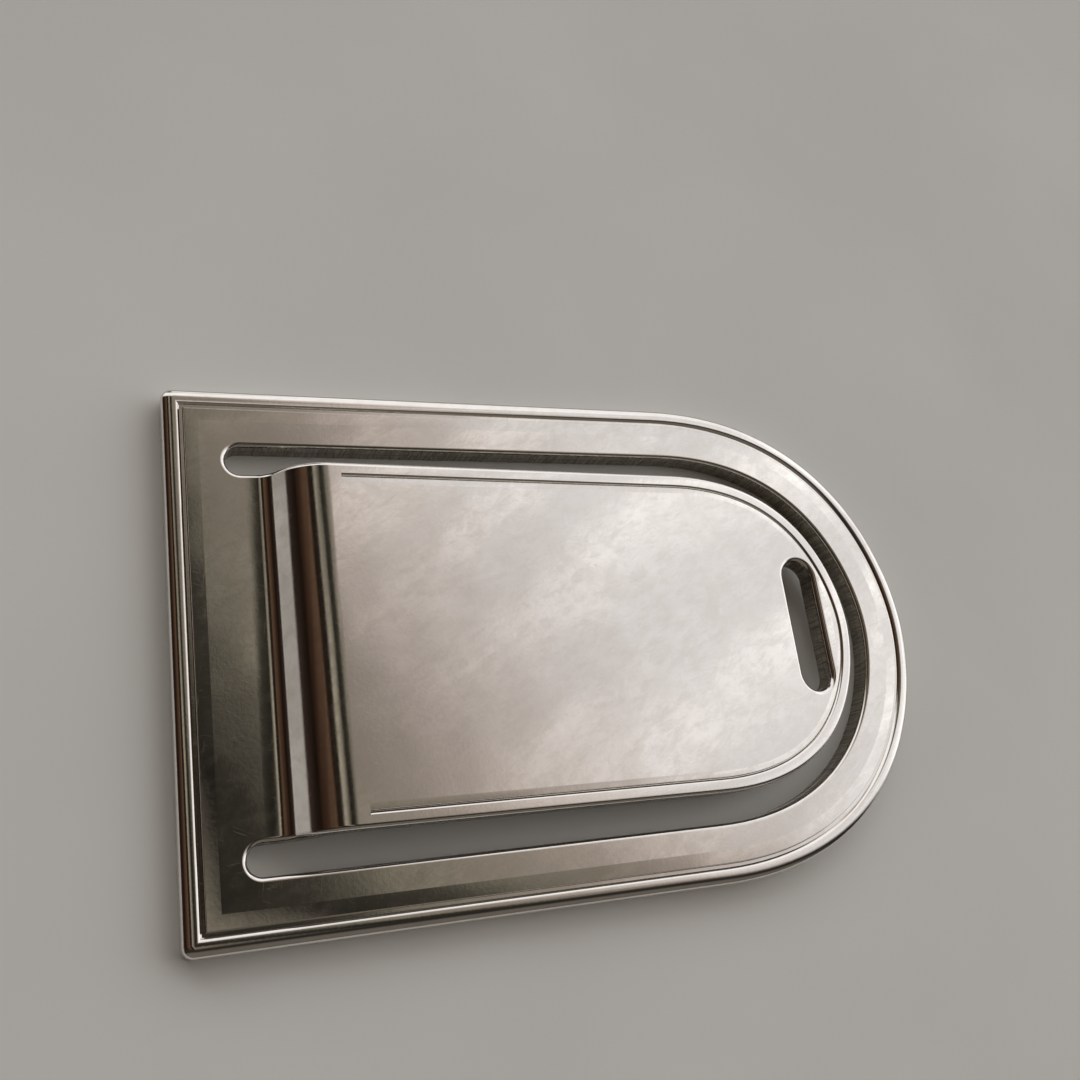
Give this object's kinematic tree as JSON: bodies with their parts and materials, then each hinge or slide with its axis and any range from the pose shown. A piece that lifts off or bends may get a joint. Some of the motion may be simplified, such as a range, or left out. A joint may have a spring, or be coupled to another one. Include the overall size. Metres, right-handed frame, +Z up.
{
  "type": "money clip",
  "caption": "Flat D-shaped metal money clip: a slotted back frame and a stepped spring tongue that presses folded notes against it, both with a narrow rim.",
  "frame": {"origin": "on the underside, at the middle of the clip's length and width", "axes": "+X from the straight end to the rounded tip, +Y across the clip, +Z up through the tongue"},
  "size_m": [0.055, 0.035, 0.0041],
  "materials": {
    "polished_plate": "polished silver-coloured plating with fine hairline scratches",
    "polished_rim": "bright polished silver-coloured plating"
  },
  "bodies": {
    "frame": {"frame_plate": "polished_plate", "frame_rim": "polished_rim", "spring_bend": "polished_plate"},
    "tongue": {"tongue_plate": "polished_plate", "tongue_rim": "polished_rim"}
  },
  "joints": [
    {"name": "tongue_flex", "type": "hinge", "parent": "frame", "child": "tongue", "pos_m": [-0.01742, 0, 0.00328], "axis": [0, -1, 0], "range_deg": [-1.1, 4.5], "stiffness_Nm_per_rad": 10}
  ]
}
